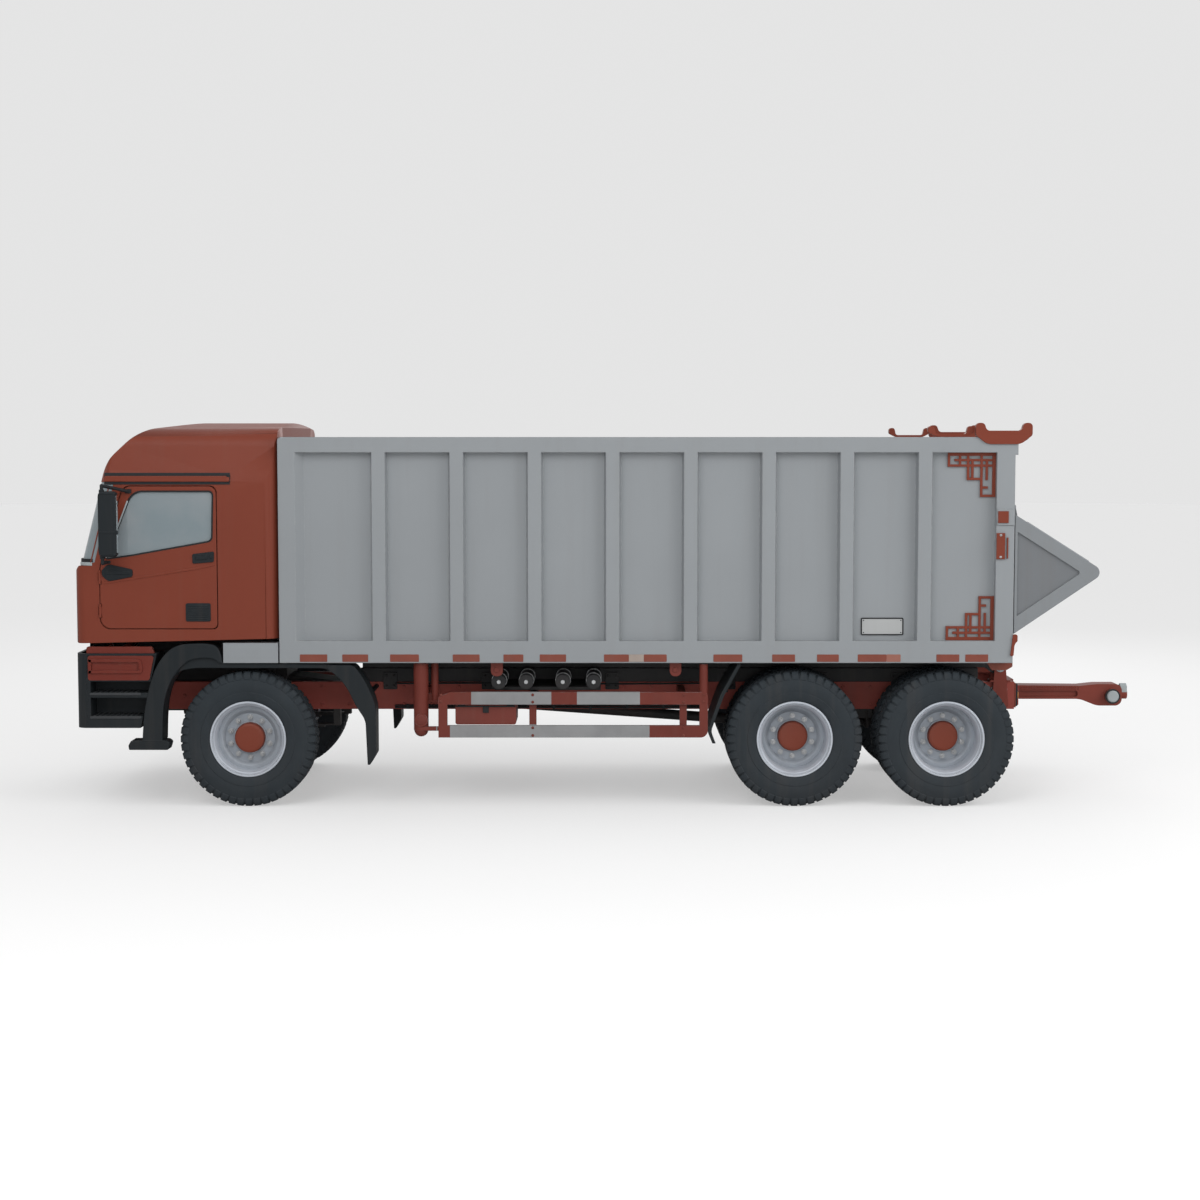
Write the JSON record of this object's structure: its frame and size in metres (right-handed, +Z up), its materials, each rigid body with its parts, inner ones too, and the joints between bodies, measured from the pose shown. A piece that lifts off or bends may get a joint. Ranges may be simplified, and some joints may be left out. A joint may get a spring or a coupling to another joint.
{
  "type": "tipping dump truck",
  "caption": "Full-size three-axle forward-control tipper truck with tilting cab, opening doors, steering, ribbed tipping body, bulged tailgate and hoist.",
  "frame": {"origin": "on the ground, centre of the overall length and width", "axes": "+X to the rear of the truck, +Y to its right, +Z up"},
  "size_m": [9.107, 2.96, 3.223],
  "materials": {
    "tyre": "matt",
    "rim": "satin",
    "cab_paint": "satin",
    "body_paint": "satin",
    "dark_paint": "satin",
    "dark_plastic": "matt",
    "guard_metal": "satin",
    "rod_steel": "polished",
    "glass": "polished",
    "lamp": "gloss",
    "seat_fabric": "woven"
  },
  "bodies": {
    "chassis": {"air_tanks": "dark_paint", "bumper": "dark_plastic", "cab_sills": "body_paint", "chassis_frame": "cab_paint", "drive_train": "dark_paint", "front_axle": "dark_paint", "front_mudguards": "dark_plastic", "headlamps": "lamp", "hinge_brackets": "cab_paint", "leaf_springs": "dark_paint", "rear_axles": "dark_paint", "rear_mudguards": "dark_plastic", "side_guards": "guard_metal", "side_steps": "dark_plastic", "step_panels": "cab_paint", "sub_frame": "dark_paint", "tail_beams": "cab_paint", "tail_lamps": "lamp", "tool_boxes": "cab_paint", "tow_bar": "dark_paint"},
    "cab": {"cab_shell": "cab_paint", "cab_glass": "glass", "grille": "dark_plastic", "dashboard": "dark_plastic", "seats": "seat_fabric", "steering_wheel": "dark_plastic"},
    "door_left": {"door_left": "cab_paint", "door_glass_left": "glass", "door_fittings_left": "dark_plastic", "mirror_left": "dark_plastic"},
    "door_right": {"door_right": "cab_paint", "door_glass_right": "glass", "door_fittings_right": "dark_plastic", "mirror_right": "dark_plastic"},
    "tipper": {"body_floor": "dark_paint", "body_side_left": "body_paint", "body_side_right": "body_paint", "body_front_wall": "body_paint", "body_rear_head": "body_paint", "finials": "cab_paint", "fretwork": "cab_paint", "tail_latches": "cab_paint"},
    "tailgate": {"tailgate": "body_paint"},
    "hoist_barrel": {"hoist_barrel": "dark_paint"},
    "hoist_rod": {"hoist_rod": "rod_steel"},
    "knuckle_left": {"knuckle_left": "dark_paint"},
    "knuckle_right": {"knuckle_right": "dark_paint"},
    "tie_rod": {"tie_rod": "dark_paint"},
    "front_wheel_left": {"front_tyre_left": "tyre", "front_rim_left": "rim"},
    "middle_wheels_left": {"middle_tyres_left": "tyre", "middle_rims_left": "rim"},
    "rear_wheels_left": {"rear_tyres_left": "tyre", "rear_rims_left": "rim"},
    "front_wheel_right": {"front_tyre_right": "tyre", "front_rim_right": "rim"},
    "middle_wheels_right": {"middle_tyres_right": "tyre", "middle_rims_right": "rim"},
    "rear_wheels_right": {"rear_tyres_right": "tyre", "rear_rims_right": "rim"}
  },
  "joints": [
    {"name": "cab_tilt", "type": "hinge", "parent": "chassis", "child": "cab", "pos_m": [-4.4815, 0, 1.332], "axis": [0, -1, 0], "range_deg": [0, 45]},
    {"name": "door_left_swing", "type": "hinge", "parent": "cab", "child": "door_left", "pos_m": [-4.3265, -1.25, 1.9], "axis": [0, 0, -1], "range_deg": [0, 65]},
    {"name": "door_right_swing", "type": "hinge", "parent": "cab", "child": "door_right", "pos_m": [-4.3265, 1.25, 1.9], "axis": [0, 0, 1], "range_deg": [0, 65]},
    {"name": "body_tip", "type": "hinge", "parent": "chassis", "child": "tipper", "pos_m": [3.3365, 0, 1.1], "axis": [0, 1, 0], "range_deg": [0, 48]},
    {"name": "tailgate_swing", "type": "hinge", "parent": "tipper", "child": "tailgate", "pos_m": [3.3365, 0, 2.5], "axis": [0, -1, 0], "range_deg": [0, 75]},
    {"name": "hoist_swing", "type": "hinge", "parent": "chassis", "child": "hoist_barrel", "pos_m": [1.1465, 0, 0.8], "axis": [0, 1, 0], "range_deg": [0, 69.5]},
    {"name": "hoist_stroke", "type": "slide", "parent": "hoist_barrel", "child": "hoist_rod", "axis": [-0.9895, 0, 0.1443], "range_m": [0, 1.4161]},
    {"name": "steer_left", "type": "hinge", "parent": "chassis", "child": "knuckle_left", "pos_m": [-3.1135, -0.885, 0.57], "axis": [0, 0, 1], "range_deg": [-30, 30]},
    {"name": "steer_right", "type": "hinge", "parent": "chassis", "child": "knuckle_right", "pos_m": [-3.1135, 0.885, 0.57], "axis": [0, 0, 1], "range_deg": [-31, 31]},
    {"name": "tie_rod_slide", "type": "slide", "parent": "chassis", "child": "tie_rod", "axis": [0, 1, 0], "range_m": [-0.13402, 0.13402]},
    {"name": "front_wheel_spin_left", "type": "hinge", "parent": "knuckle_left", "child": "front_wheel_left", "pos_m": [-3.1135, -1.09, 0.57], "axis": [0, 1, 0], "continuous": true},
    {"name": "middle_wheels_spin_left", "type": "hinge", "parent": "chassis", "child": "middle_wheels_left", "pos_m": [1.4745, -0.925, 0.57], "axis": [0, 1, 0], "continuous": true},
    {"name": "rear_wheels_spin_left", "type": "hinge", "parent": "chassis", "child": "rear_wheels_left", "pos_m": [2.7485, -0.925, 0.57], "axis": [0, 1, 0], "continuous": true},
    {"name": "front_wheel_spin_right", "type": "hinge", "parent": "knuckle_right", "child": "front_wheel_right", "pos_m": [-3.1135, 1.09, 0.57], "axis": [0, 1, 0], "continuous": true},
    {"name": "middle_wheels_spin_right", "type": "hinge", "parent": "chassis", "child": "middle_wheels_right", "pos_m": [1.4745, 0.925, 0.57], "axis": [0, 1, 0], "continuous": true},
    {"name": "rear_wheels_spin_right", "type": "hinge", "parent": "chassis", "child": "rear_wheels_right", "pos_m": [2.7485, 0.925, 0.57], "axis": [0, 1, 0], "continuous": true}
  ],
  "couplings": [
    {"joint": "hoist_swing", "follows": "body_tip", "ratio": 1.4375},
    {"joint": "hoist_stroke", "follows": "body_tip", "m_per_rad": 1.6867},
    {"joint": "steer_right", "follows": "steer_left", "ratio": 1},
    {"joint": "tie_rod_slide", "follows": "steer_left", "m_per_rad": 0.255}
  ]
}
